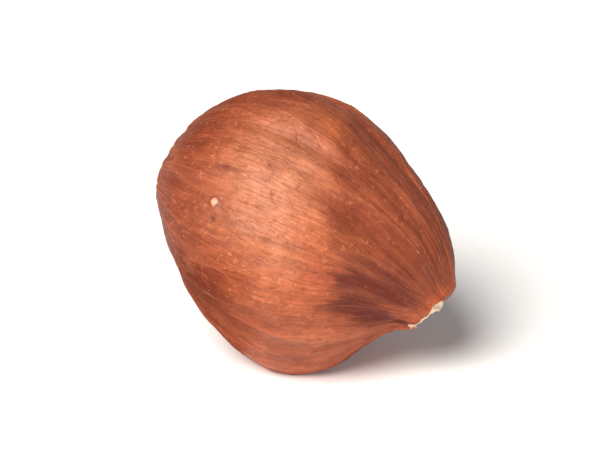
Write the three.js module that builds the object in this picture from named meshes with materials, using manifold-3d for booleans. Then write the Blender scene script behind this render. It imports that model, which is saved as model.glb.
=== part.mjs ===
// A hazelnut kernel in its brown skin, lying on its side as it would on a table.
// Millimetres, +Z up. The origin is under the middle of its box, on the surface that it lies on.
// It is one solid: a round body with a broad base, a blunt broken tip on a short neck, long low ribs
// and furrows that run from base to tip, and a small flat spot that it rests on.
import * as THREE from 'three';
import { mergeVertices } from 'three/addons/utils/BufferGeometryUtils.js';
import Module from 'manifold-3d';

// The kernel's own size, and how finely its surface is divided
const LENGTH = 13.7;
const AROUND = 112;
const ALONG = 48;

// Its outline on four sides. reach is the half width, widest and end are shares of the length from the
// base to where that side is widest and to where its body ends. At 0.5 an end is as round as an
// ellipse, and nearer 1 it is more pointed. Above 2 a shoulder stays full longer on its way to the tip.
const SIDES = [
  { reach: 6.0, widest: 0.42, end: 1.0, baseShape: 0.46, tipShape: 0.73, shoulder: 2.0 },
  { reach: 6.0, widest: 0.45, end: 0.98, baseShape: 0.5, tipShape: 0.8, shoulder: 2.6 },
  { reach: 6.22, widest: 0.58, end: 0.93, baseShape: 0.78, tipShape: 0.57, shoulder: 2.0 },
  { reach: 5.9, widest: 0.5, end: 1.0, baseShape: 0.56, tipShape: 0.6, shoulder: 2.0 },
];

// The neck and the broken end at the tip, which reaches furthest at the angle SLANT_TURN. The drop, the
// slant and the stretch set in from the share TIP_START of the length.
const TIP_RADIUS = 1.06;
const NECK_TAPER = 10.6;
const NECK_SPAN = 0.3;
const TIP_ROUNDING = 0.016;
const TIP_DROP = 0.8;
const TIP_SLANT = 0.45;
const SLANT_TURN = 0.6;
const TIP_STRETCH = 0.48;
const TIP_START = 0.75;
const JOIN_SHARPNESS = 5;

// Long waves in the skin: how many go round, how high, where they start, how far they turn on the way
const RIBS = [
  { count: 3, height: 0.09, start: 0.6, twist: 0.3 },
  { count: 5, height: 0.08, start: 2.1, twist: -0.5 },
  { count: 8, height: 0.06, start: 0.4, twist: 0.8 },
  { count: 13, height: 0.05, start: 1.3, twist: -0.6 },
  { count: 27, height: 0.025, start: 0.2, twist: 0.25 },
];

// Furrows from base to tip, evenly spread and then shifted, each with its own depth and width, and its own
// middle and reach along the kernel. Each wanders to the sides by up to half of FURROW_BEND.
const FURROWS = 13;
const FURROW_DEPTH = [0.05, 0.15];
const FURROW_WIDTH = [0.06, 0.1];
const FURROW_MIDDLE = [0.3, 0.7];
const FURROW_SPAN = [0.22, 0.42];
const FURROW_SHIFT = 0.6;
const FURROW_BEND = 0.28;
const FURROW_WAVE = 3;
const GOLDEN = 0.618034;
const SILVER = 0.414214;

// One stronger ridge, the flatter cheek above it, the hollow beside the neck, and two creases.
// turn and wide are radians round the kernel, along and long are shares of its length. lean is how
// many radians a mark turns for each whole length on its way to the tip.
const RIDGE = { turn: 0.75, wide: 0.3, along: 0.46, long: 0.2, height: 0.14, lean: 0 };
const CHEEK = { turn: 0.7, wide: 0.5, along: 0.7, long: 0.15, height: -0.2, lean: 0 };
const HOLLOW = { turn: 1.98, wide: 0.36, along: 0.845, long: 0.06, height: -0.5, lean: 0 };
const FACE_FURROW = { turn: 2.72, wide: 0.12, along: 0.56, long: 0.26, height: -0.12, lean: 0 };
const TIP_CREASE = { turn: 2.5, wide: 0.16, along: 0.91, long: 0.07, height: -0.4, lean: 4 };
const MARKS = [RIDGE, CHEEK, HOLLOW, FACE_FURROW, TIP_CREASE];

// The rough scar at the base: how far along its lip stands, how wide and high the lip is, how many
// times and how much it rises and falls on the way round. Then two sets of bumps inside it: how many
// of each go round, how many from the middle to the lip, and how high they are.
const SCAR = { edge: 0.05, wide: 0.24, lip: 0.07, waves: 5, uneven: 0.6 };
const BUMPS = { round: [4, 7], out: [5, 8], height: 0.06 };

// Where it rests, the skin is calmer, so that the flat spot is whole
const REST_SPOT = { turn: 3.72, wide: 0.55, along: 0.5, long: 0.24 };

// How quickly all relief sets in from the poles: the nearer 0, the quicker
const FADE = 0.7;

// How it lies: degrees that it rolls back, that the tip dips, and that the tip turns to the front
const ROLL_BACK = 33;
const TIP_DIP = 14.5;
const TIP_TURN = 25;

// The flat spot that it rests on: how deep it is cut, and the side of the block that cuts it
const FLAT_DEPTH = 0.45;
const BLOCK = 40;

// Points nearer to each other than this are one
const SAME_POINT = 1e-5;

const SKIN = new THREE.MeshStandardMaterial({ color: 0xa5542f, roughness: 0.5, metalness: 0 });

const TURN = 2 * Math.PI;
const fraction = (x) => x - Math.floor(x);
const between = ([low, high], share) => low + (high - low) * share;
const bell = (x) => Math.exp(-x * x);
const angleGap = (a, b) => Math.atan2(Math.sin(a - b), Math.cos(a - b));

// 0 at both ends of the kernel and 1 along its middle, so that relief dies out at the poles
const fade = (t) => Math.sin(Math.PI * t) ** FADE;

// The outline in one direction: squared sines and cosines share it out among the four sides
function sideAt(angle) {
  const cosine = Math.cos(angle);
  const sine = Math.sin(angle);
  const shares = [cosine, sine, -cosine, -sine].map((x) => Math.max(x, 0) ** 2);
  const mix = (key) => SIDES.reduce((sum, side, i) => sum + shares[i] * side[key], 0);
  return Object.fromEntries(Object.keys(SIDES[0]).map((key) => [key, mix(key)]));
}

function bodyRadius(t, side) {
  const toBase = t < side.widest;
  const span = toBase ? side.widest : side.end - side.widest;
  const way = Math.min(Math.abs(t - side.widest) / span, 1);
  if (toBase) return side.reach * (1 - way ** 2) ** side.baseShape;
  return side.reach * (1 - way ** side.shoulder) ** side.tipShape;
}

// A blunt cone that widens away from the tip and dies out inside the body
function neckRadius(t) {
  const back = 1 - t;
  const cap = 1 - Math.min(back / TIP_ROUNDING, 1);
  const cone = TIP_RADIUS + NECK_TAPER * back;
  return cone * bell((back / NECK_SPAN) ** 2) * Math.sqrt(1 - cap * cap);
}

function furrowDepth(t, angle) {
  let depth = 0;
  for (let i = 0; i < FURROWS; i += 1) {
    const chance = fraction((i + 1) * GOLDEN);
    const other = fraction((i + 1) * SILVER);
    const turn = (TURN * (i + FURROW_SHIFT * (chance - 0.5))) / FURROWS;
    const bend = FURROW_BEND * (other - 0.5) * Math.sin(FURROW_WAVE * t + TURN * chance);
    const across = angleGap(angle, turn + bend) / between(FURROW_WIDTH, other);
    const along = (t - between(FURROW_MIDDLE, other)) / between(FURROW_SPAN, chance);
    depth += between(FURROW_DEPTH, chance) * bell(across) * bell(along);
  }
  return depth;
}

function ribHeight(t, angle) {
  return RIBS.reduce((sum, rib) => {
    const phase = rib.count * (angle - rib.twist * (t - 0.5)) + rib.start;
    return sum + rib.height * Math.cos(phase);
  }, 0);
}

function markHeight(t, angle) {
  return MARKS.reduce((sum, mark) => {
    const across = angleGap(angle, mark.turn + mark.lean * (t - mark.along)) / mark.wide;
    const along = (t - mark.along) / mark.long;
    return sum + mark.height * bell(across) * bell(along);
  }, 0);
}

// How far the base stands out along the axis
function scarHeight(t, angle) {
  const out = Math.sqrt(t / SCAR.edge);
  const uneven = 1 + SCAR.uneven * Math.sin(SCAR.waves * angle);
  const lip = SCAR.lip * uneven * bell((out - 1) / SCAR.wide);
  const few = Math.sin(BUMPS.round[0] * angle) * Math.cos(BUMPS.out[0] * out);
  const many = Math.sin(BUMPS.round[1] * angle + 1) * Math.cos(BUMPS.out[1] * out);
  return lip + BUMPS.height * (few + many) * out * bell(out ** 3);
}

// 0 on the resting spot and 1 away from it
function away(t, angle) {
  const across = angleGap(angle, REST_SPOT.turn) / REST_SPOT.wide;
  return 1 - bell(across) * bell((t - REST_SPOT.along) / REST_SPOT.long);
}

function radiusAt(t, angle) {
  const body = bodyRadius(t, sideAt(angle));
  const neck = neckRadius(t);
  const joined = (body ** JOIN_SHARPNESS + neck ** JOIN_SHARPNESS) ** (1 / JOIN_SHARPNESS);
  const folds = away(t, angle) * (ribHeight(t, angle) - furrowDepth(t, angle));
  return joined + fade(t) * (folds + markHeight(t, angle));
}

// A point of the skin, with the kernel's axis along +X, its upper side up and its front towards -Y.
// Towards the tip the axis drops, and the broken end slants: its crown and front reach furthest.
function skinPoint(t, angle) {
  const radius = t > 0 && t < 1 ? radiusAt(t, angle) : 0;
  const nearTip = THREE.MathUtils.smoothstep(t, TIP_START, 1);
  const up = radius * Math.cos(angle);
  const slant = TIP_SLANT * radius * Math.cos(angle - SLANT_TURN);
  const along = LENGTH * (t - 0.5) + nearTip * (slant + TIP_STRETCH) - scarHeight(t, angle);
  return new THREE.Vector3(along, -radius * Math.sin(angle), up - TIP_DROP * nearTip);
}

// Rings of points from base to tip, closer together at the ends, with one point at each pole
function wholeKernel() {
  const points = [skinPoint(0, 0)];
  for (let ring = 1; ring < ALONG; ring += 1) {
    const t = (1 - Math.cos((Math.PI * ring) / ALONG)) / 2;
    for (let k = 0; k < AROUND; k += 1) points.push(skinPoint(t, (TURN * k) / AROUND));
  }
  points.push(skinPoint(1, 0));

  const at = (ring, k) => 1 + (ring - 1) * AROUND + (k % AROUND);
  const faces = [];
  for (let k = 0; k < AROUND; k += 1) {
    faces.push(0, at(1, k + 1), at(1, k));
    for (let ring = 1; ring < ALONG - 1; ring += 1) {
      faces.push(at(ring, k), at(ring, k + 1), at(ring + 1, k + 1));
      faces.push(at(ring, k), at(ring + 1, k + 1), at(ring + 1, k));
    }
    faces.push(at(ALONG - 1, k), at(ALONG - 1, k + 1), points.length - 1);
  }
  return new THREE.BufferGeometry().setFromPoints(points).setIndex(faces);
}

// Turned to the way it lies, and lowered by the depth of its flat spot
function laidDown(geometry) {
  const { degToRad } = THREE.MathUtils;
  const lie = new THREE.Euler(-degToRad(ROLL_BACK), degToRad(TIP_DIP), -degToRad(TIP_TURN), 'ZYX');
  geometry.applyMatrix4(new THREE.Matrix4().makeRotationFromEuler(lie));
  geometry.computeBoundingBox();
  return geometry.translate(0, 0, -geometry.boundingBox.min.z - FLAT_DEPTH);
}

const wasm = await Module();
wasm.setup();

function solidOf(geometry) {
  const bare = new THREE.BufferGeometry();
  bare.setAttribute('position', geometry.getAttribute('position'));
  bare.setIndex(geometry.getIndex());
  const merged = mergeVertices(bare, SAME_POINT);
  return new wasm.Manifold(new wasm.Mesh({
    numProp: 3,
    vertProperties: new Float32Array(merged.getAttribute('position').array),
    triVerts: new Uint32Array(merged.getIndex().array),
  }));
}

function geometryOf(solid) {
  const { vertProperties, triVerts } = solid.getMesh();
  const geometry = new THREE.BufferGeometry();
  geometry.setAttribute('position', new THREE.BufferAttribute(vertProperties, 3));
  return geometry.setIndex(new THREE.BufferAttribute(triVerts, 1));
}

function kernel() {
  const below = new THREE.BoxGeometry(BLOCK, BLOCK, BLOCK).translate(0, 0, -BLOCK / 2);
  const cut = solidOf(laidDown(wholeKernel())).subtract(solidOf(below));
  const geometry = geometryOf(cut);
  geometry.computeVertexNormals();
  geometry.computeBoundingBox();
  const middle = geometry.boundingBox.getCenter(new THREE.Vector3());
  geometry.translate(-middle.x, -middle.y, 0);
  const mesh = new THREE.Mesh(geometry, SKIN);
  mesh.name = 'kernel';
  return mesh;
}

const group = new THREE.Group();
group.add(kernel());
export default group;
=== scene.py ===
"""A hazelnut kernel in its brown skin, lying on a pale floor.

The skin follows the same formula as the frame's solid, divided more finely, and adds what is too
fine for the solid: fibres, veins, wrinkles, the grain of the base scar and the broken pale tip.
The kernel's form and relief are in millimetres until its mesh is made. Everything else is in metres,
unless its name or its comment says mm. Turns are in radians.
"""
import math

import bpy
import numpy as np
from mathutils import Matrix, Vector, noise


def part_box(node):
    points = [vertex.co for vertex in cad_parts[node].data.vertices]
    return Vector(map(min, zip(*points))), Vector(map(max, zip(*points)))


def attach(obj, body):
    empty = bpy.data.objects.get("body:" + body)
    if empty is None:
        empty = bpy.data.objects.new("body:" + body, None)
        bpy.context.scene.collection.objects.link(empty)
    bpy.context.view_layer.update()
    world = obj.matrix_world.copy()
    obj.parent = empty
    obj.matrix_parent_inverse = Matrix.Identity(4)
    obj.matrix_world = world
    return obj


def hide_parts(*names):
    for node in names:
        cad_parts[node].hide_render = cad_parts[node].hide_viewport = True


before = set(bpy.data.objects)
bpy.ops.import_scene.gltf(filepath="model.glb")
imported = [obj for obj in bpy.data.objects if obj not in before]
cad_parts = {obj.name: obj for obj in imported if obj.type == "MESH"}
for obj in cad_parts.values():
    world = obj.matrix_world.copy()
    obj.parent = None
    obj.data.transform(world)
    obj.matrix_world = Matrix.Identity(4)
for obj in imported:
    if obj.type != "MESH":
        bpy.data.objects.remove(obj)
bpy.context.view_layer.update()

MM = 0.001
TURN = 2 * math.pi

# The kernel's own size, and how finely the frame's solid and the visible skin are divided
LENGTH = 13.7
SOLID_AROUND = 112
SOLID_ALONG = 48
AROUND = 480
ALONG = 204

# Its outline on four sides. These and the other values of the form are the solid's own. reach is the
# half width, widest and end are shares of the length from the base to where that side is widest and
# to where its body ends. With a base_shape or tip_shape of 0.5 that end is as round as an ellipse,
# and nearer 1 it is more pointed. With a shoulder above 2 the side stays full longer on its way to
# the tip.
SIDES = [
    {"reach": 6.0, "widest": 0.42, "end": 1.0, "base_shape": 0.46, "tip_shape": 0.73, "shoulder": 2.0},
    {"reach": 6.0, "widest": 0.45, "end": 0.98, "base_shape": 0.5, "tip_shape": 0.8, "shoulder": 2.6},
    {"reach": 6.22, "widest": 0.58, "end": 0.93, "base_shape": 0.78, "tip_shape": 0.57, "shoulder": 2.0},
    {"reach": 5.9, "widest": 0.5, "end": 1.0, "base_shape": 0.56, "tip_shape": 0.6, "shoulder": 2.0},
]

# The neck and the broken end at the tip, which reaches furthest at the angle SLANT_TURN. The drop, the
# slant and the stretch set in from the share TIP_START of the length.
TIP_RADIUS = 1.06
NECK_TAPER = 10.6
NECK_SPAN = 0.3
TIP_ROUNDING = 0.016
TIP_DROP = 0.8
TIP_SLANT = 0.45
SLANT_TURN = 0.6
TIP_STRETCH = 0.48
TIP_START = 0.75
JOIN_SHARPNESS = 5

# Long waves in the skin: how many go round, how high, where they start, how far they turn on the way
RIBS = [
    {"count": 3, "height": 0.09, "start": 0.6, "twist": 0.3},
    {"count": 5, "height": 0.08, "start": 2.1, "twist": -0.5},
    {"count": 8, "height": 0.06, "start": 0.4, "twist": 0.8},
    {"count": 13, "height": 0.05, "start": 1.3, "twist": -0.6},
    {"count": 27, "height": 0.025, "start": 0.2, "twist": 0.25},
]

# Furrows from base to tip, evenly spread and then shifted, each with its own depth and width, and its
# own middle and reach along the kernel. Each wanders to the sides by up to half of FURROW_BEND, in a
# wave of FURROW_WAVE radians from base to tip.
FURROWS = 13
FURROW_DEPTH = (0.05, 0.15)
FURROW_WIDTH = (0.06, 0.1)
FURROW_MIDDLE = (0.3, 0.7)
FURROW_SPAN = (0.22, 0.42)
FURROW_SHIFT = 0.6
FURROW_BEND = 0.28
FURROW_WAVE = 3
# Steps of these two give each furrow its own two shares from 0 to 1
GOLDEN = 0.618034
SILVER = 0.414214

# One stronger ridge, the flatter cheek between it and the tip, the hollow beside the neck, and two
# creases. In all marks, turn and wide are radians round the kernel, and along and long are shares of
# its length. lean is how many radians a mark turns for each whole length on its way to the tip.
RIDGE = {"turn": 0.75, "wide": 0.3, "along": 0.46, "long": 0.2, "height": 0.14}
CHEEK = {"turn": 0.7, "wide": 0.5, "along": 0.7, "long": 0.15, "height": -0.2}
HOLLOW = {"turn": 1.98, "wide": 0.36, "along": 0.845, "long": 0.06, "height": -0.5}
FACE_FURROW = {"turn": 2.72, "wide": 0.12, "along": 0.56, "long": 0.26, "height": -0.12}
TIP_CREASE = {"turn": 2.5, "wide": 0.16, "along": 0.91, "long": 0.07, "height": -0.4, "lean": 4}
MARKS = (RIDGE, CHEEK, HOLLOW, FACE_FURROW, TIP_CREASE)

# The rough scar at the base: how far along its lip stands, how wide and high the lip is, how many
# times and how much it rises and falls on the way round. Then two sets of bumps inside it: how many
# of each go round, how many radians their waves have from the middle to the lip, and their height.
SCAR = {"edge": 0.05, "wide": 0.24, "lip": 0.07, "waves": 5, "uneven": 0.6}
BUMPS = {"round": (4, 7), "out": (5, 8), "height": 0.06}

# Where it rests, the skin is calmer
REST_SPOT = {"turn": 3.72, "wide": 0.55, "along": 0.5, "long": 0.24}

# How quickly the folds and the marks set in from the poles: the nearer 0, the quicker
FADE = 0.7

# How it lies: how far it rolls back, the tip dips, and the tip turns to the front
ROLL_BACK = math.radians(33)
TIP_DIP = math.radians(14.5)
TIP_TURN = math.radians(25)


def bell(x):
    """1 at 0, falling off softly on both sides."""
    return np.exp(-x * x)


def angle_gap(a, b):
    return np.arctan2(np.sin(a - b), np.cos(a - b))


def between(ends, share):
    return ends[0] + (ends[1] - ends[0]) * share


def ease(x, low, high):
    """0 below low and 1 above high, with a smooth step between."""
    way = np.clip((x - low) / (high - low), 0, 1)
    return way * way * (3 - 2 * way)


def mark_share(mark, t, angle):
    """1 at the middle of a mark and 0 far from it."""
    middle = mark["turn"] + mark.get("lean", 0) * (t - mark["along"])
    return bell(angle_gap(angle, middle) / mark["wide"]) * bell((t - mark["along"]) / mark["long"])


def body_radius(t, angle):
    """The body's outline: squared sines and cosines share it out among the four sides."""
    cosine, sine = np.cos(angle), np.sin(angle)
    shares = [np.maximum(x, 0) ** 2 for x in (cosine, sine, -cosine, -sine)]
    side = {key: sum(share * one[key] for share, one in zip(shares, SIDES)) for key in SIDES[0]}
    to_base = t < side["widest"]
    span = np.where(to_base, side["widest"], side["end"] - side["widest"])
    way = np.minimum(np.abs(t - side["widest"]) / span, 1)
    power = np.where(to_base, 2, side["shoulder"])
    shape = np.where(to_base, side["base_shape"], side["tip_shape"])
    return side["reach"] * (1 - way**power) ** shape


def neck_radius(t):
    """A blunt cone that widens away from the tip and dies out inside the body."""
    back = 1 - t
    cap = 1 - np.minimum(back / TIP_ROUNDING, 1)
    return (TIP_RADIUS + NECK_TAPER * back) * bell((back / NECK_SPAN) ** 2) * np.sqrt(1 - cap * cap)


def furrow_depth(t, angle):
    depth = np.zeros_like(t)
    for i in range(FURROWS):
        chance = ((i + 1) * GOLDEN) % 1
        other = ((i + 1) * SILVER) % 1
        turn = TURN * (i + FURROW_SHIFT * (chance - 0.5)) / FURROWS
        bend = FURROW_BEND * (other - 0.5) * np.sin(FURROW_WAVE * t + TURN * chance)
        across = angle_gap(angle, turn + bend) / between(FURROW_WIDTH, other)
        along = (t - between(FURROW_MIDDLE, other)) / between(FURROW_SPAN, chance)
        depth += between(FURROW_DEPTH, chance) * bell(across) * bell(along)
    return depth


def rib_height(t, angle):
    height = np.zeros_like(t)
    for rib in RIBS:
        phase = rib["count"] * (angle - rib["twist"] * (t - 0.5)) + rib["start"]
        height += rib["height"] * np.cos(phase)
    return height


def fold_height(t, angle):
    """The ribs and furrows together, which die out on the resting spot."""
    return (1 - mark_share(REST_SPOT, t, angle)) * (rib_height(t, angle) - furrow_depth(t, angle))


def scar_height(t, angle):
    """How far the base stands out along the axis."""
    out = np.sqrt(t / SCAR["edge"])
    uneven = 1 + SCAR["uneven"] * np.sin(SCAR["waves"] * angle)
    lip = SCAR["lip"] * uneven * bell((out - 1) / SCAR["wide"])
    few = np.sin(BUMPS["round"][0] * angle) * np.cos(BUMPS["out"][0] * out)
    many = np.sin(BUMPS["round"][1] * angle + 1) * np.cos(BUMPS["out"][1] * out)
    return lip + BUMPS["height"] * (few + many) * out * bell(out**3)


def skin_points(t, angle):
    """Points of the solid's skin, with the kernel's axis along +X and its upper side up."""
    body, neck = body_radius(t, angle), neck_radius(t)
    joined = (body**JOIN_SHARPNESS + neck**JOIN_SHARPNESS) ** (1 / JOIN_SHARPNESS)
    marks = sum(mark["height"] * mark_share(mark, t, angle) for mark in MARKS)
    relief = np.abs(np.sin(math.pi * t)) ** FADE * (fold_height(t, angle) + marks)
    radius = np.where((t > 0) & (t < 1), joined + relief, 0)
    near_tip = ease(t, TIP_START, 1)
    up = radius * np.cos(angle)
    slant = TIP_SLANT * radius * np.cos(angle - SLANT_TURN)
    along = LENGTH * (t - 0.5) + near_tip * (slant + TIP_STRETCH) - scar_height(t, angle)
    return np.stack([along, -radius * np.sin(angle), up - TIP_DROP * near_tip], axis=-1)


def lie_matrix():
    """The turn from the kernel's own axes to the way it lies."""
    c, s = math.cos(-ROLL_BACK), math.sin(-ROLL_BACK)
    roll = np.array([[1, 0, 0], [0, c, -s], [0, s, c]])
    c, s = math.cos(TIP_DIP), math.sin(TIP_DIP)
    dip = np.array([[c, 0, s], [0, 1, 0], [-s, 0, c]])
    c, s = math.cos(-TIP_TURN), math.sin(-TIP_TURN)
    turn = np.array([[c, -s, 0], [s, c, 0], [0, 0, 1]])
    return turn @ dip @ roll


def ring_places(along, around):
    """The grid of shares of the length and angles, rings first, with one ring for each pole."""
    t = (1 - np.cos(math.pi * np.arange(along + 1) / along)) / 2
    angle = TURN * np.arange(around) / around
    return np.meshgrid(t, angle, indexing="ij")


def place_of_solid():
    """How far the laid kernel is moved so that it fills the box of the frame's solid."""
    points = skin_points(*ring_places(SOLID_ALONG, SOLID_AROUND)) @ lie_matrix().T
    low, high = points.min(axis=(0, 1)), points.max(axis=(0, 1))
    box_low, box_high = (np.array(corner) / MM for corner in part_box("kernel"))
    middle = (box_low + box_high - low - high) / 2
    return np.array([middle[0], middle[1], box_high[2] - high[2]])


# How quickly the octaves of noise get weaker, and how much finer each is than the one before
OCTAVE_FALL = 1.0
OCTAVE_STEP = 2.0
# Noise drawn out from base to tip: its cells for each radian round and for the whole length
FIBRES = {"around": 13, "along": 5, "octaves": 3, "seed": 0.0}
WRINKLES = {"around": 5, "along": 7, "octaves": 4, "seed": 21.0}
STRANDS = {"around": 3.4, "along": 1.7, "octaves": 2, "seed": 11.3}
SCAR_FRAY = {"around": 2.2, "along": 6, "octaves": 3, "seed": 8.1}
# Noise that is alike all ways: its cells for each mm
PEBBLES = {"cells": 1.5, "octaves": 3, "seed": 31.0}
GRAINS = {"cells": 2.8, "octaves": 2, "seed": 41.0}
BARE_FRAY = {"cells": 1.5, "octaves": 4, "seed": 4.7}
SEAM_WAVE = {"cells": 3, "octaves": 2, "seed": 14.2}

# The fine relief of the skin. All of it but the pebbles sets in over a span of distances from the
# kernel's axis.
FIBRE_HEIGHT = 0.025
VEIN_HEIGHT = 0.045
WRINKLE_HEIGHT = 0.032
PEBBLE_HEIGHT = 0.025
RELIEF_ROOM = (0.2, 2.6)
# How many times as high the fibres and wrinkles are near the base and near the tip, where the skin
# is dry, and the span of the length that this changes over
DRYNESS = (0.7, 1.6)
DRY_SPAN = (0.5, 0.9)
# The veins: how far they sway, how many radians that wave has from base to tip and for each radian
# round, and how thin they are
VEIN_SWAY = 0.1
VEIN_WAVES = (5, 2)
VEIN_SHARPNESS = 14
# The scar at the base: its grain, its rim, how unevenly it ends, and how softly
SCAR_GRAIN = 0.07
SCAR_RIM = 0.03
SCAR_RIM_WIDE = 0.06
SCAR_RAG = 0.13
SCAR_SOFT = (-0.1, 0.1)
# How far from the middle of the tip the skin is broken off, further below and in front than on top,
# and how ragged and soft that edge is. Then the grain of the bare tip, and the step down to it.
BARE_REACH = 1.22
BARE_SWAY = 0.38
BARE_TURN = 3.7
BARE_RAG = 0.35
BARE_SOFT = (0, 0.08)
FLESH_GRAIN = 0.1
SKIN_STEP = 0.12
# The germ's point in the middle of the bare tip, and the seam between the two seed leaves across it
GERM_WIDE = 0.32
GERM_HEIGHT = 0.16
SEAM_TURN = 0.4
SEAM_WIDE = 0.06
SEAM_DEPTH = 0.06
SEAM_SWAY = 0.1
# The purple-brown stain in the hollow, partly painted shade there: where its edge sets in and is full,
# how much the wrinkles and fibres fray that edge, and its step down
STAIN_AND_SHADE = {"turn": 1.97, "wide": 0.44, "along": 0.848, "long": 0.09, "lean": -1.2}
STAIN_EDGE = (0.2, 0.75)
STAIN_WRINKLES = 0.3
STAIN_FIBRES = 0.35
STAIN_STEP = 0.08
# A bead of dried sap, and a pinhole below it
BEAD = {"turn": 1.74, "wide": 0.042, "along": 0.338, "long": 0.016, "height": 0.12}
PINHOLE = {"turn": 1.86, "wide": 0.026, "along": 0.353, "long": 0.01, "height": -0.1}
# How strongly the folds and the wrinkles darken the creases with painted shade
CREASE_SHADE_FOLDS = 3
CREASE_SHADE_WRINKLES = 0.35

# Where the broad tints and the painted highlight, bounce light and shade lie, and the span of the length
# that the darker base, partly painted shade, fades over
TINTS_AND_PAINTED_LIGHT = {
    # A painted highlight: paler where the key light's broad sheen falls on the front
    "pale": [
        {"turn": 1.4, "wide": 0.85, "along": 0.48, "long": 0.21},
        {"turn": 1.92, "wide": 0.22, "along": 0.6, "long": 0.08},
    ],
    # Painted shade, a warm saturated orange, low on the front towards the base
    "warm_shade": [{"turn": 2.18, "wide": 0.22, "along": 0.43, "long": 0.12}],
    "orange": [{"turn": 0.74, "wide": 0.17, "along": 0.6, "long": 0.14}],
    # Painted shade, deep and warm, low on the front towards the base
    "deep_warm_shade": [{"turn": 2.35, "wide": 0.5, "along": 0.34, "long": 0.19}],
    # Painted bounce light from the white floor, low on the kernel towards the tip
    "floor_bounce": [{"turn": 2.7, "wide": 0.42, "along": 0.72, "long": 0.15}],
    # Painted shade on the upper side, towards the base
    "dark": [{"turn": 0.55, "wide": 0.4, "along": 0.33, "long": 0.16}],
}
DARK_BASE_AND_SHADE = (0.13, 0.44)
# The cheek with painted shade, where it faces away from the key light: its middle, how far round it
# reaches, where it ends, and the line where it starts, which bends to the tip on its way from the crown
# to the front and sways with the wrinkles
CHEEK_SHADE_TURN = 1.0
CHEEK_SHADE_WIDE = (0.8, 1.2)
CHEEK_SHADE_END = (0.92, 0.98)
CHEEK_SHADE_START = 0.54
CHEEK_SHADE_LEAN = 0.12
CHEEK_SHADE_BEND = 0.12
CHEEK_SHADE_SWAY = 0.03
CHEEK_SHADE_SOFT = 0.09
# Fainter patches of painted shade beside it, towards the base
SHADE_PATCHES = [
    {"turn": 0.93, "wide": 0.2, "along": 0.49, "long": 0.08, "share": 0.62},
    {"turn": 1.36, "wide": 0.15, "along": 0.47, "long": 0.055, "share": 0.5},
]


def fractal(places, octaves, seed):
    """Fractal noise at each place, about -1 to 1."""
    moved = places.reshape(-1, 3) + (0, 0, seed)
    values = [noise.fractal(place, OCTAVE_FALL, OCTAVE_STEP, octaves) for place in moved.tolist()]
    return np.array(values).reshape(places.shape[:-1])


def even_noise(points, cells, octaves, seed):
    return fractal(cells * points, octaves, seed)


def grain_noise(t, angle, around, along, octaves, seed):
    places = np.stack([around * np.cos(angle), around * np.sin(angle), along * t], axis=-1)
    return fractal(places, octaves, seed)


def veins(t, angle):
    """Thin raised strands that wander from base to tip, join and part."""
    bent = angle + VEIN_SWAY * np.sin(VEIN_WAVES[0] * t + VEIN_WAVES[1] * angle)
    strands = 1 - np.abs(grain_noise(t, bent, **STRANDS))
    return np.clip(strands, 0, 1) ** VEIN_SHARPNESS


def from_tip(points):
    """How far each point is from the middle of the tip."""
    return np.linalg.norm(points - points[-1, 0], axis=-1)


def bare_depth(angle, points):
    """How far inside the edge of the broken skin a point of the tip lies, and less than 0 on the skin."""
    reach = BARE_REACH + BARE_SWAY * np.cos(angle - BARE_TURN)
    return reach + BARE_RAG * even_noise(points, **BARE_FRAY) - from_tip(points)


def scar_depth(t, angle):
    """How far inside the base scar a point lies: 1 in its middle, 0 on its edge, less on the skin."""
    return 1 - np.sqrt(t / SCAR["edge"]) - SCAR_RAG * grain_noise(t, angle, **SCAR_FRAY)


def tip_marks(angle, points):
    """1 on the germ's point, and 1 along the seam across the tip."""
    out = from_tip(points)
    sway = SEAM_SWAY * even_noise(points, **SEAM_WAVE)
    return bell(out / GERM_WIDE), bell((out * np.sin(angle - SEAM_TURN) + sway) / SEAM_WIDE)


def cheek_shade_share(t, angle, sway):
    """1 on the cheek's painted shade, with a fairly crisp edge towards the base, and less on the patches of
    painted shade.
    """
    turn = angle_gap(angle, CHEEK_SHADE_TURN)
    start = CHEEK_SHADE_START + CHEEK_SHADE_LEAN * turn + CHEEK_SHADE_BEND * turn**2 + sway
    cheek = ease(t, start, start + CHEEK_SHADE_SOFT)
    cheek = cheek * (1 - ease(np.abs(turn), *CHEEK_SHADE_WIDE)) * (1 - ease(t, *CHEEK_SHADE_END))
    patches = sum(patch["share"] * mark_share(patch, t, angle) for patch in SHADE_PATCHES)
    return np.maximum(cheek, patches)


def tint_and_painted_light_masks(t, angle, wrinkles):
    """How strong each broad tint, painted highlight, painted bounce light and painted shade is: 1 at its
    middle, 0 far from it.
    """
    masks = {}
    for name, marks in TINTS_AND_PAINTED_LIGHT.items():
        masks[name] = np.max([mark_share(mark, t, angle) for mark in marks], axis=0)
    # Darker towards the base: partly the skin's own darker base, partly painted shade
    masks["dark"] = np.maximum(masks["dark"], 1 - ease(t, *DARK_BASE_AND_SHADE))
    # Painted shade on the cheek that faces away from the key light
    masks["cheek_shade"] = cheek_shade_share(t, angle, CHEEK_SHADE_SWAY * wrinkles)
    return masks


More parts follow.
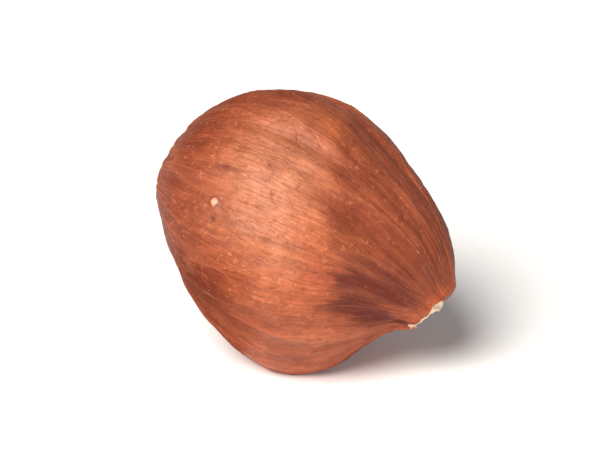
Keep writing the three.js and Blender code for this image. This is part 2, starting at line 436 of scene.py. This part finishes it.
def fine_relief(t, angle, points):
    """The fine relief, and the masks that the skin's colours follow."""
    bare_in, scar_in = bare_depth(angle, points), scar_depth(t, angle)
    bare, scar = ease(bare_in, *BARE_SOFT), ease(scar_in, *SCAR_SOFT)
    skin = (1 - bare) * (1 - scar)
    germ, seam = tip_marks(angle, points)
    bead, pinhole = mark_share(BEAD, t, angle), mark_share(PINHOLE, t, angle)
    fibres = grain_noise(t, angle, **FIBRES)
    strands = veins(t, angle)
    wrinkles = grain_noise(t, angle, **WRINKLES)
    rough = even_noise(points, **GRAINS)
    stain = mark_share(STAIN_AND_SHADE, t, angle) + STAIN_WRINKLES * wrinkles + STAIN_FIBRES * fibres

    dry = between(DRYNESS, ease(t, *DRY_SPAN))
    room = ease(np.hypot(points[..., 1], points[..., 2]), *RELIEF_ROOM)
    grain = FIBRE_HEIGHT * dry * fibres + VEIN_HEIGHT * strands + WRINKLE_HEIGHT * dry * wrinkles
    relief = skin * room * grain
    relief += (1 - bare) * PEBBLE_HEIGHT * even_noise(points, **PEBBLES)
    relief += scar * SCAR_GRAIN * rough + SCAR_RIM * bell(scar_in / SCAR_RIM_WIDE)
    relief += bare * (FLESH_GRAIN * rough - SKIN_STEP + GERM_HEIGHT * germ - SEAM_DEPTH * seam)
    relief -= STAIN_STEP * ease(stain, *STAIN_EDGE)
    relief += BEAD["height"] * bead + PINHOLE["height"] * pinhole

    masks = {
        "bare": bare_in,
        "scar": scar_in,
        "germ": germ,
        "seam": seam,
        "strand": strands * skin,
        # Painted shade in the creases of the folds and wrinkles
        "crease_shade": np.clip(-CREASE_SHADE_FOLDS * fold_height(t, angle) - CREASE_SHADE_WRINKLES * wrinkles, -1, 1),
        # The stain, partly painted shade in the hollow and in the crease by the tip
        "stain": stain + mark_share(TIP_CREASE, t, angle),
        "bead": bead,
        "pinhole": pinhole,
        **tint_and_painted_light_masks(t, angle, wrinkles),
    }
    return relief, masks


# The kernel's whole length in the grain's own measure, in which its radius is 1
GRAIN_LENGTH = 2.2


def normals_of(points):
    """Outward directions of a grid of rings."""
    around = np.roll(points, -1, axis=1) - np.roll(points, 1, axis=1)
    along = np.gradient(points, axis=0)
    across = np.cross(around, along)
    across[0], across[-1] = (-1, 0, 0), (1, 0, 0)
    return across / np.linalg.norm(across, axis=-1, keepdims=True)


def grid_faces(along, around):
    """Corners of each face and their places on the unrolled skin, for rings between two poles."""
    faces, places = [], []
    last = 1 + (along - 1) * around

    def at(ring, k):
        return 1 + (ring - 1) * around + k % around

    for k in range(around):
        faces.append((0, at(1, k + 1), at(1, k)))
        places.append(((0, k + 0.5), (1, k + 1), (1, k)))
        faces.append((at(along - 1, k), at(along - 1, k + 1), last))
        places.append(((along - 1, k), (along - 1, k + 1), (along, k + 0.5)))
    for ring in range(1, along - 1):
        for k in range(around):
            corners = ((ring, k), (ring, k + 1), (ring + 1, k + 1), (ring + 1, k))
            faces.append(tuple(at(*corner) for corner in corners))
            places.append(corners)
    return faces, places


def poles_and_rings(grid):
    """A grid's values as the mesh has them: the base pole, the rings, the tip pole."""
    flat = grid[1:-1].reshape(-1, *grid.shape[2:])
    return np.concatenate([grid[:1, 0], flat, grid[-1:, 0]])


def unroll(mesh, places, t):
    """The map that the surface is unrolled on: across is the way round, up the way to the tip."""
    way = np.arccos(1 - 2 * t) / math.pi
    corners = [corner for face in places for corner in face]
    spots = np.array([(k / AROUND, way[ring]) for ring, k in corners])
    layer = mesh.uv_layers.new(name="OFBake")
    layer.data.foreach_set("uv", spots.ravel())


def keep_masks(mesh, masks):
    """Each mask as an attribute of the mesh's points, for the material to read."""
    for name, values in masks.items():
        layer = mesh.attributes.new(name, "FLOAT", "POINT")
        layer.data.foreach_set("value", poles_and_rings(values).astype(np.float32))


def keep_grain(mesh, t, angle):
    """Each point's place in the grain's own measure: on a circle of radius 1, and along the kernel."""
    grain = np.stack([np.cos(angle), np.sin(angle), GRAIN_LENGTH * t], axis=-1)
    layer = mesh.attributes.new("grain", "FLOAT_VECTOR", "POINT")
    layer.data.foreach_set("vector", poles_and_rings(grain).astype(np.float32).ravel())


def make_kernel(material):
    t, angle = ring_places(ALONG, AROUND)
    points = skin_points(t, angle)
    relief, masks = fine_relief(t, angle, points)
    points = points + normals_of(points) * relief[..., None]
    laid = points @ lie_matrix().T + place_of_solid()
    laid[..., 2] = np.maximum(laid[..., 2], 0)

    faces, places = grid_faces(ALONG, AROUND)
    mesh = bpy.data.meshes.new("kernel_skin")
    mesh.from_pydata((poles_and_rings(laid) * MM).tolist(), [], faces)
    mesh.polygons.foreach_set("use_smooth", [True] * len(faces))
    unroll(mesh, places, t[:, 0])
    keep_masks(mesh, masks)
    keep_grain(mesh, t, angle)
    mesh.materials.append(material)
    mesh.update()
    piece = bpy.data.objects.new("kernel_skin", mesh)
    bpy.context.scene.collection.objects.link(piece)
    return piece


def rgb(red, green, blue):
    """A colour from 0 to 255 values as the eye sees them, in the shader's linear values."""
    shares = [x / 255 for x in (red, green, blue)]
    linear = [x / 12.92 if x <= 0.04045 else ((x + 0.055) / 1.055) ** 2.4 for x in shares]
    return (*linear, 1.0)


SKIN_MID = rgb(170, 82, 45)
SKIN_RED = rgb(158, 68, 40)
SKIN_DARK = rgb(120, 51, 27)
SKIN_LIGHT = rgb(192, 106, 66)
SCURF = rgb(206, 138, 100)
# The stain's purple-brown, also the painted shade in the hollow, the crease by the tip and the pinhole
STAIN_AND_SHADE_BROWN = rgb(98, 37, 28)
# The painted highlight on top of the bead
BEAD_GLINT_COLOUR = rgb(246, 172, 144)
SCAR_GOLD = rgb(190, 130, 88)
SCAR_MID = rgb(146, 86, 54)
SCAR_BROWN = rgb(98, 50, 30)
FLESH = rgb(246, 228, 200)
FLESH_WARM = rgb(222, 172, 134)
GERM_BROWN = rgb(150, 92, 52)
WHITE = (1.0, 1.0, 1.0, 1.0)
# The broad tints, the painted highlight, the painted bounce light and the painted shade, in the order
# that they are laid on: their colour and how strongly it covers
TINT_AND_PAINTED_LIGHT_COLOURS = {
    # The painted highlight
    "pale": (rgb(192, 123, 88), 0.85),
    # Painted warm shade
    "warm_shade": (rgb(162, 66, 14), 0.92),
    "orange": (rgb(202, 104, 50), 0.8),
    # Painted deep warm shade
    "deep_warm_shade": (rgb(106, 37, 9), 0.95),
    # Painted bounce light from the floor
    "floor_bounce": (rgb(194, 113, 75), 0.55),
    # Painted shade on the cheek
    "cheek_shade": (rgb(135, 63, 38), 0.82),
    # Partly the darker base, partly painted shade
    "dark": (SKIN_DARK, 0.95),
}
# How much a tone changes red, green and blue
TONE_SHIFT = (0.8, 1.0, 1.15)

# Clouds of soft noise. cells is how many there are in the grain's own measure, across and along it, or
# all ways for each metre. detail, rough and bend are the noise's own detail, roughness and distortion.
# Over its span a cloud goes from 0 to 1. tone is how much it darkens and lightens the colour, and
# share is how strongly another colour covers.
BANDS = {"cells": (3, 1), "detail": 3, "rough": 0.5, "span": (0.32, 0.66)}
BLOTCHES = {"cells": (260, 260), "detail": 3, "rough": 0.5, "bend": 0.4, "span": (0.34, 0.66), "tone": 0.14}
STREAKS = {"cells": (11, 1.4), "detail": 4, "rough": 0.6, "span": (0.3, 0.7), "tone": 0.15}
HAIRS = {"cells": (48, 3.2), "detail": 2, "rough": 0.5, "span": (0.3, 0.7), "tone": 0.1}
MOTTLE = {"cells": (1300, 1300), "detail": 5, "rough": 0.62, "span": (0.3, 0.7), "tone": 0.2}
# Thin winding lines, each as wide as line says
PALE_LINES = {"cells": (15, 1.7), "detail": 2, "rough": 0.5, "bend": 0.5, "line": 0.022, "share": 0.3}
DARK_LINES = {"cells": (9, 2.6), "detail": 3, "rough": 0.6, "bend": 0.5, "line": 0.012, "share": 0.35}
# Pale flakes where the cloud is thick, fainter on the stain, and dark specks where it is thin
FLAKES = {"cells": (5200, 5200), "detail": 2, "rough": 0.6, "span": (0.6, 0.72), "share": (0.4, 0.12)}
SPECKS = {"span": (0.4, 0.3), "share": 0.4}
# Plates of dried skin between fine cracks: how wide a crack is, how strongly it is drawn in the colour
# and in the bump, and how deep the bump makes it, in mm. The cracks wind as far as CRACK_SWAY.
BROAD_PLATES = {"cells": (12, 3.4), "crack": 0.05, "share": 0.14, "bump": 0.35, "reach": 0.05}
FINE_PLATES = {"cells": (24, 2.6), "crack": 0.09, "share": 0.16, "bump": 0.4, "reach": 0.04}
CRACK_BEND = {"cells": (7, 3), "detail": 2, "rough": 0.5}
CRACK_SWAY = (0.05, 0.05, 0.05)
# How strongly the veins are drawn, and where the painted shade in the creases sets in and how strongly
VEIN_SHARE = 0.3
CREASE_SHADE_SPAN = (0.1, 0.9)
CREASE_SHADE_SHARE = 0.45
# How much the streaks and hairs fray the stain, and how weak the mottling makes it in places
STAIN_STREAKS = 0.9
STAIN_HAIRS = 0.7
STAIN_MOTTLE = {"span": (0.3, 0.6), "share": (0.8, 1.0)}
# The bead of sap is speckled, with painted shade round its edge and a painted highlight on top, and the
# pinhole below it is darkened with painted shade
BEAD_SPECKLE = 0.5
BEAD_PAINTED_SHADE = {"span": (0.35, 0.55), "share": 0.5}
BEAD_PAINTED_GLINT = {"span": (0.7, 1.05), "share": 0.75}
PINHOLE_PAINTED_SHADE = 0.8
# The base scar: its grains, its blotches, its fibres, and how many small dots it has for each metre
SCAR_GRAINS = {"cells": (1500, 1500), "detail": 6, "rough": 0.66, "span": (0.36, 0.66)}
SCAR_BLOTS = {"cells": (700, 700), "detail": 4, "rough": 0.6, "bend": 0.5, "span": (0.36, 0.64), "tone": 0.22}
SCAR_FIBRES = {"cells": (14, 6), "detail": 3, "rough": 0.6, "bend": 0.4, "span": (0.34, 0.66), "tone": 0.25}
SCAR_DOTS = {"cells": 2600, "span": (0.26, 0.12), "share": 0.6}
SCAR_SHARE = 0.94
# The pits of the scar and of the bare tip, and how dark they are on each
PITS = {"cells": (4200, 4200), "detail": 4, "rough": 0.6, "span": (0.46, 0.34), "bump": 0.9, "reach": 0.06}
SCAR_PITS = 0.65
FLESH_PITS = 0.5
# The bare tip: its warm patches, its seam and the germ's point
FLESH_PATCHES = {"cells": (2200, 2200), "detail": 5, "rough": 0.6, "span": (0.42, 0.66), "share": 0.8}
SEAM_SHARE = 0.6
GERM = {"span": (0.6, 0.95), "share": 0.7}
# The bumps of the hair-fine fibres and of the pebbling
FINE_FIBRES = {"cells": (42, 7), "detail": 4, "rough": 0.6, "bend": 0.2, "bump": 0.6, "reach": 0.06}
FINE_PEBBLES = {"cells": (2600, 2600), "detail": 3, "rough": 0.6, "bump": 0.5, "reach": 0.05}
# The edges of the bare tip and of the scar: how much a cloud frays them, and how soft they are
BARE_EDGE = {"cells": (5000, 5000), "detail": 3, "rough": 0.55, "fray": 0.12, "soft": 0.02}
SCAR_EDGE = {"cells": (2800, 2800), "detail": 5, "rough": 0.65, "fray": 0.9, "soft": 0.08}
# The satin sheen of the skin, in long streaks between two roughnesses, and what is rougher or smoother
SHEEN = {"cells": (9, 3), "detail": 3, "rough": 0.55, "span": (0.3, 0.7)}
SKIN_ROUGHNESS = (0.5, 0.62)
ROUGHER = {"bare": 0.3, "scar": 0.25, "stain": 0.25, "bead": -0.35}

# The numbers of a Mix node's sockets for its two colours and for the colour that it makes
MIX_LOW = 6
MIX_HIGH = 7
MIX_MADE = 2


def add(tree, kind, inputs=(), **settings):
    """A node of that kind, with its settings, and its inputs set or linked."""
    node = tree.nodes.new("ShaderNode" + kind)
    for name, value in settings.items():
        setattr(node, name, value)
    for key, value in dict(inputs).items():
        if isinstance(value, bpy.types.NodeSocket):
            tree.links.new(value, node.inputs[key])
        else:
            node.inputs[key].default_value = value
    return node


def mask(tree, name):
    return add(tree, "Attribute", attribute_name=name).outputs["Fac"]


def times(tree, a, b):
    return add(tree, "Math", {0: a, 1: b}, operation="MULTIPLY").outputs[0]


def plus(tree, a, b):
    return add(tree, "Math", {0: a, 1: b}, operation="ADD").outputs[0]


def mix(tree, share, low, high):
    """The first colour where the share is 0, and the second where it is 1."""
    inputs = {0: share, MIX_LOW: low, MIX_HIGH: high}
    return add(tree, "Mix", inputs, data_type="RGBA").outputs[MIX_MADE]


def spread(tree, value, low, high, to_low=0.0, to_high=1.0):
    """A value taken smoothly from one span to another."""
    inputs = {"Value": value, "From Min": low, "From Max": high, "To Min": to_low, "To Max": to_high}
    return add(tree, "MapRange", inputs, interpolation_type="SMOOTHSTEP").outputs[0]


def spread_share(tree, value, look):
    """Smoothly from 0 to the look's share, as the value goes over the look's span."""
    return spread(tree, value, *look["span"], 0.0, look["share"])


def outside(tree, share):
    """0 where the share is 1, and 1 where it is 0."""
    return spread(tree, share, 0.0, 1.0, 1.0, 0.0)


def stretched(tree, vector, cells):
    """A vector scaled so that there are so many cells across and along the grain."""
    across, along = cells
    factor = (across, across, along)
    return add(tree, "VectorMath", {0: vector, 1: factor}, operation="MULTIPLY").outputs[0]


def cloud_node(tree, vector, look):
    inputs = {
        "Vector": stretched(tree, vector, look["cells"]),
        "Scale": 1.0,
        "Detail": look["detail"],
        "Roughness": look["rough"],
        "Distortion": look.get("bend", 0.0),
    }
    return add(tree, "TexNoise", inputs)


def cloud(tree, vector, look):
    return cloud_node(tree, vector, look).outputs["Fac"]


def toned(tree, colour, clouds, look):
    """The colour, darker and redder where a cloud is thin, and lighter and paler where it is thick."""
    darker = [1 - look["tone"] * x for x in TONE_SHIFT]
    lighter = [1 + look["tone"] * x for x in TONE_SHIFT]
    factor = mix(tree, spread(tree, clouds, *look["span"]), (*darker, 1.0), (*lighter, 1.0))
    return add(tree, "VectorMath", {0: colour, 1: factor}, operation="MULTIPLY").outputs[0]


def thin_lines(tree, grain, look):
    """Winding lines where a cloud crosses its middle value, and 0 away from them."""
    off = add(tree, "Math", {0: cloud(tree, grain, look), 1: 0.5}, operation="SUBTRACT").outputs[0]
    away = add(tree, "Math", {0: off}, operation="ABSOLUTE").outputs[0]
    return times(tree, spread(tree, away, 0.0, look["line"], 1.0, 0.0), look["share"])


def crackle(tree, grain, plates):
    """1 on the fine cracks between long plates of dried skin, 0 on the plates."""
    bent = cloud_node(tree, grain, CRACK_BEND).outputs["Color"]
    inputs = {0: bent, 1: CRACK_SWAY, 2: grain}
    moved = add(tree, "VectorMath", inputs, operation="MULTIPLY_ADD").outputs[0]
    inputs = {"Vector": stretched(tree, moved, plates["cells"]), "Scale": 1.0}
    edge = add(tree, "TexVoronoi", inputs, feature="DISTANCE_TO_EDGE").outputs["Distance"]
    return spread(tree, edge, 0.0, plates["crack"], 1.0, 0.0)


def stain_and_shade_share(tree, streaks, hairs, mottle):
    """How strong the stain and its painted shade are in the hollow, with an edge that the streaks and hairs
    fray.
    """
    fray = plus(tree, times(tree, streaks, STAIN_STREAKS), times(tree, hairs, STAIN_HAIRS))
    middle = (STAIN_STREAKS + STAIN_HAIRS) / 2
    low, high = (x + middle for x in STAIN_EDGE)
    share = spread(tree, plus(tree, mask(tree, "stain"), fray), low, high)
    return times(tree, share, spread(tree, mottle, *STAIN_MOTTLE["span"], *STAIN_MOTTLE["share"]))


def edge_share(tree, name, place, edge):
    """1 inside a region and 0 outside, from the depth in its mask, with a frayed edge."""
    moved = plus(tree, mask(tree, name), times(tree, cloud(tree, place, edge), edge["fray"]))
    middle = edge["fray"] / 2
    return spread(tree, moved, middle - edge["soft"], middle + edge["soft"])


def tinted_and_painted_light_colour(tree, grain, place):
    """Brown skin in soft bands and blotches, with its broad tints and its painted highlight, bounce light and
    shade.
    """
    bands = spread(tree, cloud(tree, grain, BANDS), *BANDS["span"])
    colour = mix(tree, bands, SKIN_RED, SKIN_MID)
    colour = toned(tree, colour, cloud(tree, place, BLOTCHES), BLOTCHES)
    for name, (tint, share) in TINT_AND_PAINTED_LIGHT_COLOURS.items():
        colour = mix(tree, times(tree, mask(tree, name), share), colour, tint)
    return colour


def flaked(tree, colour, scurf, stain):
    """The colour with pale flakes, which are fainter on the stain, and dark specks."""
    flakes = spread(tree, scurf, *FLAKES["span"])
    share = spread(tree, stain, 0.0, 1.0, *FLAKES["share"])
    colour = mix(tree, times(tree, flakes, share), colour, SCURF)
    return mix(tree, spread_share(tree, scurf, SPECKS), colour, SKIN_DARK)


def cracked(tree, colour, grain):
    """The colour with the cracks between its plates, its veins and the painted shade in its creases."""
    for plates in (FINE_PLATES, BROAD_PLATES):
        cracks = times(tree, crackle(tree, grain, plates), plates["share"])
        colour = mix(tree, cracks, colour, SKIN_DARK)
    colour = mix(tree, times(tree, mask(tree, "strand"), VEIN_SHARE), colour, SKIN_LIGHT)
    # Painted shade in the creases
    creases = spread(tree, mask(tree, "crease_shade"), *CREASE_SHADE_SPAN, 0.0, CREASE_SHADE_SHARE)
    return mix(tree, creases, colour, SKIN_DARK)


def spotted(tree, colour, scurf):
    """The colour with the bead of sap, its painted shade round the edge and painted highlight on top, and the
    pinhole's painted shade.
    """
    bead = plus(tree, mask(tree, "bead"), times(tree, scurf, BEAD_SPECKLE))
    colour = mix(tree, spread_share(tree, bead, BEAD_PAINTED_SHADE), colour, SKIN_DARK)
    colour = mix(tree, spread_share(tree, bead, BEAD_PAINTED_GLINT), colour, BEAD_GLINT_COLOUR)
    return mix(tree, times(tree, mask(tree, "pinhole"), PINHOLE_PAINTED_SHADE), colour, STAIN_AND_SHADE_BROWN)


def skin_colour(tree, grain, place):
    """The skin with its stain and painted shade in the hollow, its streaks and hairs along the grain, and
    what lies over them.
    """
    streaks = cloud(tree, grain, STREAKS)
    hairs = cloud(tree, grain, HAIRS)
    mottle = cloud(tree, place, MOTTLE)
    scurf = cloud(tree, place, FLAKES)
    stain = stain_and_shade_share(tree, streaks, hairs, mottle)
    colour = mix(tree, stain, tinted_and_painted_light_colour(tree, grain, place), STAIN_AND_SHADE_BROWN)
    for clouds, look in ((streaks, STREAKS), (hairs, HAIRS), (mottle, MOTTLE)):
        colour = toned(tree, colour, clouds, look)
    colour = mix(tree, thin_lines(tree, grain, PALE_LINES), colour, SKIN_LIGHT)
    colour = mix(tree, thin_lines(tree, grain, DARK_LINES), colour, SKIN_DARK)
    colour = flaked(tree, colour, scurf, stain)
    colour = cracked(tree, colour, grain)
    return spotted(tree, colour, scurf)


def pits(tree, place):
    """1 in the small pits of the scar and of the bare tip."""
    return spread(tree, cloud(tree, place, PITS), *PITS["span"])


def scar_colour(tree, grain, place):
    """Golden brown and granular, with blotches and fibres, dark in its pits and dots."""
    grains = spread(tree, cloud(tree, place, SCAR_GRAINS), *SCAR_GRAINS["span"])
    gold = mix(tree, grains, SCAR_MID, SCAR_GOLD)
    for measure, look in ((place, SCAR_BLOTS), (grain, SCAR_FIBRES)):
        gold = toned(tree, gold, cloud(tree, measure, look), look)
    gold = mix(tree, times(tree, pits(tree, place), SCAR_PITS), gold, SCAR_BROWN)
    inputs = {"Vector": place, "Scale": SCAR_DOTS["cells"]}
    dots = add(tree, "TexVoronoi", inputs).outputs["Distance"]
    return mix(tree, spread_share(tree, dots, SCAR_DOTS), gold, SCAR_BROWN)


def flesh_colour(tree, place):
    """Cream, warmer in patches, in its pits and along the seam, and brown on the germ's point."""
    warm = spread_share(tree, cloud(tree, place, FLESH_PATCHES), FLESH_PATCHES)
    cream = mix(tree, warm, FLESH, FLESH_WARM)
    cream = mix(tree, times(tree, pits(tree, place), FLESH_PITS), cream, FLESH_WARM)
    cream = mix(tree, times(tree, mask(tree, "seam"), SEAM_SHARE), cream, GERM_BROWN)
    return mix(tree, spread_share(tree, mask(tree, "germ"), GERM), cream, GERM_BROWN)


def kernel_roughness(tree, grain, bare, scar):
    """Satin in long streaks, rougher on the bare tip, the scar and the stain, smoother on the bead."""
    roughness = spread(tree, cloud(tree, grain, SHEEN), *SHEEN["span"], *SKIN_ROUGHNESS)
    changes = (
        times(tree, bare, ROUGHER["bare"]),
        times(tree, scar, ROUGHER["scar"]),
        spread(tree, mask(tree, "stain"), *STAIN_EDGE, 0.0, ROUGHER["stain"]),
        times(tree, mask(tree, "bead"), ROUGHER["bead"]),
    )
    for change in changes:
        roughness = plus(tree, roughness, change)
    return roughness


def bumped(tree, normal, height, strength, reach, sunk=False):
    """A bump over the normal before it, raised or sunk by up to its reach in mm."""
    inputs = {"Strength": strength, "Distance": reach * MM, "Height": height}
    if normal is not None:
        inputs["Normal"] = normal
    return add(tree, "Bump", inputs, invert=sunk).outputs[0]


def kernel_bump(tree, grain, place, skin):
    """Cracks and hair-fine fibres where there is skin, pits where there is none, and pebbles."""
    normal = None
    for plates in (BROAD_PLATES, FINE_PLATES):
        strength = times(tree, skin, plates["bump"])
        cracks = crackle(tree, grain, plates)
        normal = bumped(tree, normal, cracks, strength, plates["reach"], sunk=True)
    strength = times(tree, skin, FINE_FIBRES["bump"])
    normal = bumped(tree, normal, cloud(tree, grain, FINE_FIBRES), strength, FINE_FIBRES["reach"])
    strength = spread(tree, skin, 0.0, 1.0, PITS["bump"], 0.0)
    normal = bumped(tree, normal, pits(tree, place), strength, PITS["reach"], sunk=True)
    pebbles = cloud(tree, place, FINE_PEBBLES)
    return bumped(tree, normal, pebbles, FINE_PEBBLES["bump"], FINE_PEBBLES["reach"])


def new_material(name):
    material = bpy.data.materials.new(name)
    material.use_nodes = True
    material.node_tree.nodes.clear()
    return material


def finish_material(tree, inputs):
    """The shader with these inputs, linked to the material's output."""
    shader = add(tree, "BsdfPrincipled", inputs)
    add(tree, "OutputMaterial", {"Surface": shader.outputs[0]})


def kernel_material():
    material = new_material("kernel_skin")
    tree = material.node_tree
    grain = add(tree, "Attribute", attribute_name="grain").outputs["Vector"]
    place = add(tree, "TexCoord").outputs["Object"]
    bare = edge_share(tree, "bare", place, BARE_EDGE)
    scar = edge_share(tree, "scar", place, SCAR_EDGE)
    skin = times(tree, outside(tree, bare), outside(tree, scar))

    colour = skin_colour(tree, grain, place)
    colour = mix(tree, times(tree, scar, SCAR_SHARE), colour, scar_colour(tree, grain, place))
    colour = mix(tree, bare, colour, flesh_colour(tree, place))
    bump = kernel_bump(tree, grain, place, skin)
    finish_material(tree, {
        "Base Color": colour,
        "Roughness": kernel_roughness(tree, grain, bare, scar),
        "Normal": bump,
        "IOR": 1.45,
        "Specular IOR Level": 0.32,
        "Coat Weight": 0.06,
        "Coat Roughness": 0.3,
        "Coat Normal": bump,
        "Subsurface Weight": 0.06,
        "Subsurface Radius": (1.0, 0.35, 0.2),
        "Subsurface Scale": 0.0006,
    })
    return material


# The floor's size, its two near whites, and the faint glow that it has, as a light table does
FLOOR_SIZE = 3.0
FLOOR_DIM = rgb(236, 235, 233)
FLOOR_BRIGHT = rgb(242, 241, 239)
FLOOR_CLOUDS = {"cells": (9, 9), "detail": 2, "rough": 0.55}
FLOOR_GLOW = 0.1
# A round brown card on the floor on the left, which shows only in the kernel's gloss. Its middle and
# its radius are in half lengths of the kernel's box, and it lies a little above the floor.
CARD_PLACE = (-1.73, -0.23)
CARD_RADIUS = 1.28
CARD_LIFT = 0.0001
CARD_SIDES = 32
CARD_BROWN = rgb(110, 52, 28)


def floor_material():
    material = new_material("floor_white")
    tree = material.node_tree
    place = add(tree, "TexCoord").outputs["Object"]
    finish_material(tree, {
        "Base Color": mix(tree, cloud(tree, place, FLOOR_CLOUDS), FLOOR_DIM, FLOOR_BRIGHT),
        "Roughness": 0.7,
        "Emission Color": WHITE,
        "Emission Strength": FLOOR_GLOW,
    })
    return material


def card_material():
    material = new_material("card_brown")
    finish_material(material.node_tree, {"Base Color": CARD_BROWN, "Roughness": 0.9})
    return material


def make_flat(name, corners, material):
    """A flat piece of the studio, which isn't part of the object."""
    mesh = bpy.data.meshes.new(name)
    mesh.from_pydata(corners, [], [range(len(corners))])
    mesh.materials.append(material)
    flat = bpy.data.objects.new(name, mesh)
    bpy.context.scene.collection.objects.link(flat)
    return flat


def make_floor():
    half = FLOOR_SIZE / 2
    corners = [(-half, -half, 0), (half, -half, 0), (half, half, 0), (-half, half, 0)]
    make_flat("floor", corners, floor_material())


def make_card(half_length):
    corners = []
    for i in range(CARD_SIDES):
        turn = TURN * i / CARD_SIDES
        x = CARD_PLACE[0] + CARD_RADIUS * math.cos(turn)
        y = CARD_PLACE[1] + CARD_RADIUS * math.sin(turn)
        corners.append((x * half_length, y * half_length, CARD_LIFT))
    card = make_flat("card", corners, card_material())
    card.visible_camera = False
    card.visible_diffuse = False
    card.visible_shadow = False


# How far from the kernel the two lights stand
LAMP_DISTANCE = 0.34
# The key is a wide sun from the left, in front and above: the way to it, and how wide it looks
KEY_WAY = (-0.38, -0.6, 0.7)
KEY_STRENGTH = 5.2
KEY_WIDTH = math.radians(36)
KEY_COLOUR = (1.0, 0.98, 0.95)
# A faint small light from behind on the right
RIM_WAY = (0.85, 0.35, 0.4)
RIM_SIZE = 0.1
RIM_WATTS = 0.05
RIM_COLOUR = (0.97, 0.98, 1.0)
# The white surround, as it lights the kernel and as the eye sees it past the floor
WORLD_LIGHT = 0.14
WORLD_SEEN = 1.1


def place_lamp(name, data, target, direction):
    way = Vector(direction).normalized()
    lamp = bpy.data.objects.new(name, data)
    lamp.location = target + way * LAMP_DISTANCE
    lamp.rotation_euler = (-way).to_track_quat("-Z", "Y").to_euler()
    bpy.context.scene.collection.objects.link(lamp)


def make_lights(target):
    key = bpy.data.lights.new("key", "SUN")
    key.energy, key.angle, key.color = KEY_STRENGTH, KEY_WIDTH, KEY_COLOUR
    place_lamp("key", key, target, KEY_WAY)
    rim = bpy.data.lights.new("rim", "AREA")
    rim.energy, rim.size, rim.color = RIM_WATTS, RIM_SIZE, RIM_COLOUR
    place_lamp("rim", rim, target, RIM_WAY)


def make_surround():
    world = bpy.data.worlds.new("studio")
    world.use_nodes = True
    tree = world.node_tree
    seen = add(tree, "LightPath").outputs["Is Camera Ray"]
    inputs = {"Value": seen, "To Min": WORLD_LIGHT, "To Max": WORLD_SEEN}
    strength = add(tree, "MapRange", inputs).outputs[0]
    back = tree.nodes["Background"]
    back.inputs["Color"].default_value = WHITE
    tree.links.new(strength, back.inputs["Strength"])
    bpy.context.scene.world = world


# How far above the horizon the eye is, its lens, the share of the picture's height that the kernel's
# own height takes, and the picture's width and height
EYE_HEIGHT = math.radians(20)
LENS_MM = 130
SENSOR_MM = 36
FILL = 0.6
PICTURE = (610, 450)
# How near and how far the camera sees
CLIP = (0.01, 10)


def make_camera(target, height):
    data = bpy.data.cameras.new("camera")
    data.lens, data.sensor_width = LENS_MM, SENSOR_MM
    data.clip_start, data.clip_end = CLIP
    half = SENSOR_MM / 2 / LENS_MM * PICTURE[1] / PICTURE[0]
    distance = height / FILL / 2 / half
    back = Vector((0, -math.cos(EYE_HEIGHT), math.sin(EYE_HEIGHT)))
    camera = bpy.data.objects.new("camera", data)
    camera.location = target + back * distance
    camera.rotation_euler = (-back).to_track_quat("-Z", "Y").to_euler()
    bpy.context.scene.collection.objects.link(camera)
    bpy.context.scene.camera = camera


low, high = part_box("kernel")
MIDDLE = (Vector(low) + Vector(high)) / 2
make_camera(MIDDLE, high[2] - low[2])
make_lights(MIDDLE)
make_surround()
make_floor()
make_card((high[0] - low[0]) / 2)
kernel = make_kernel(kernel_material())
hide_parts("kernel")
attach(kernel, "root")
bpy.context.scene.view_settings.view_transform = "Standard"
